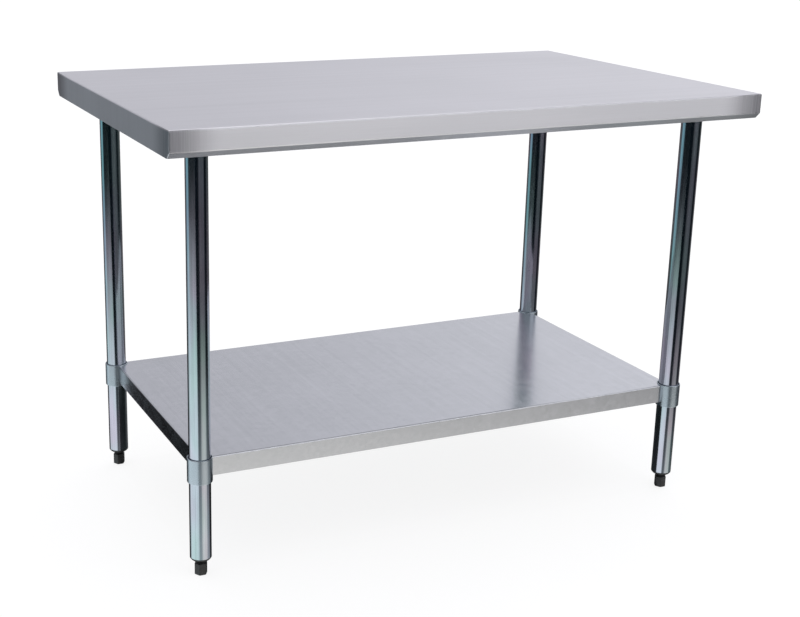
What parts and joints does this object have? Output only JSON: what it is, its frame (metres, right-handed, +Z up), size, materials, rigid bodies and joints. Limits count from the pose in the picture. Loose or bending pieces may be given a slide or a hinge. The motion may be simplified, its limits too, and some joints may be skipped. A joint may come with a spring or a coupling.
{
  "type": "stainless work table",
  "caption": "Kitchen work table: flat stainless top with folded edges on tube legs, an undershelf that slides on the legs and screw-adjusted feet.",
  "frame": {"origin": "on the floor under the middle of the worktop, with the feet's soles at z = 0", "axes": "+X along the worktop's length to the right, +Y to the back, +Z up"},
  "size_m": [1.2192, 0.762, 0.864],
  "materials": {
    "stainless_sheet": "satin, fine lengthwise grain",
    "galvanised_sheet": "dull zinc-coated, faint spangle",
    "galvanised_tube": "bright zinc-coated tube, reflective",
    "cast_aluminium": "tumbled die casting",
    "zinc_plated_steel": "zinc plated",
    "black_oxide_steel": "black oxide",
    "deadening_tape": "matt butyl tape",
    "black_plastic": "moulded nylon"
  },
  "bodies": {
    "frame": {"tabletop": "stainless_sheet", "top_channel_left": "galvanised_sheet", "top_channel_right": "galvanised_sheet", "top_channel_centre": "galvanised_sheet", "tape_left": "deadening_tape", "tape_right": "deadening_tape", "tape_centre": "deadening_tape", "channel_studs": "zinc_plated_steel", "channel_washers": "zinc_plated_steel", "channel_nuts": "zinc_plated_steel", "leg_socket_fl": "galvanised_sheet", "leg_socket_fr": "galvanised_sheet", "leg_socket_bl": "galvanised_sheet", "leg_socket_br": "galvanised_sheet", "socket_set_screws": "black_oxide_steel", "leg_fl": "galvanised_tube", "leg_fr": "galvanised_tube", "leg_bl": "galvanised_tube", "leg_br": "galvanised_tube", "leg_insert_fl": "black_plastic", "leg_insert_fr": "black_plastic", "leg_insert_bl": "black_plastic", "leg_insert_br": "black_plastic"},
    "shelf_unit": {"shelf": "galvanised_sheet", "shelf_stiffener": "galvanised_sheet", "shelf_clamp_fl": "cast_aluminium", "shelf_clamp_fr": "cast_aluminium", "shelf_clamp_bl": "cast_aluminium", "shelf_clamp_br": "cast_aluminium", "clamp_set_screws": "black_oxide_steel"},
    "foot_screw_fl": {"foot_screw_fl": "black_plastic"},
    "foot_screw_fr": {"foot_screw_fr": "black_plastic"},
    "foot_screw_bl": {"foot_screw_bl": "black_plastic"},
    "foot_screw_br": {"foot_screw_br": "black_plastic"},
    "foot_fl": {"foot_fl": "black_plastic"},
    "foot_fr": {"foot_fr": "black_plastic"},
    "foot_bl": {"foot_bl": "black_plastic"},
    "foot_br": {"foot_br": "black_plastic"}
  },
  "joints": [
    {"name": "shelf_slide", "type": "slide", "parent": "frame", "child": "shelf_unit", "axis": [0, 0, 1], "range_m": [-0.14, 0.5]},
    {"name": "foot_lift_fl", "type": "slide", "parent": "frame", "child": "foot_screw_fl", "axis": [0, 0, -1], "range_m": [-0.0035, 0.0215]},
    {"name": "foot_turn_fl", "type": "hinge", "parent": "foot_screw_fl", "child": "foot_fl", "pos_m": [-0.5271, -0.278, 0], "axis": [0, 0, -1], "range_deg": [-504, 3096]},
    {"name": "foot_lift_fr", "type": "slide", "parent": "frame", "child": "foot_screw_fr", "axis": [0, 0, -1], "range_m": [-0.0035, 0.0215]},
    {"name": "foot_turn_fr", "type": "hinge", "parent": "foot_screw_fr", "child": "foot_fr", "pos_m": [0.5271, -0.278, 0], "axis": [0, 0, -1], "range_deg": [-504, 3096]},
    {"name": "foot_lift_bl", "type": "slide", "parent": "frame", "child": "foot_screw_bl", "axis": [0, 0, -1], "range_m": [-0.0035, 0.0215]},
    {"name": "foot_turn_bl", "type": "hinge", "parent": "foot_screw_bl", "child": "foot_bl", "pos_m": [-0.5271, 0.278, 0], "axis": [0, 0, -1], "range_deg": [-504, 3096]},
    {"name": "foot_lift_br", "type": "slide", "parent": "frame", "child": "foot_screw_br", "axis": [0, 0, -1], "range_m": [-0.0035, 0.0215]},
    {"name": "foot_turn_br", "type": "hinge", "parent": "foot_screw_br", "child": "foot_br", "pos_m": [0.5271, 0.278, 0], "axis": [0, 0, -1], "range_deg": [-504, 3096]}
  ],
  "couplings": [
    {"joint": "foot_lift_fl", "follows": "foot_turn_fl", "m_per_rad": 0.00039789},
    {"joint": "foot_lift_fr", "follows": "foot_turn_fr", "m_per_rad": 0.00039789},
    {"joint": "foot_lift_bl", "follows": "foot_turn_bl", "m_per_rad": 0.00039789},
    {"joint": "foot_lift_br", "follows": "foot_turn_br", "m_per_rad": 0.00039789}
  ]
}
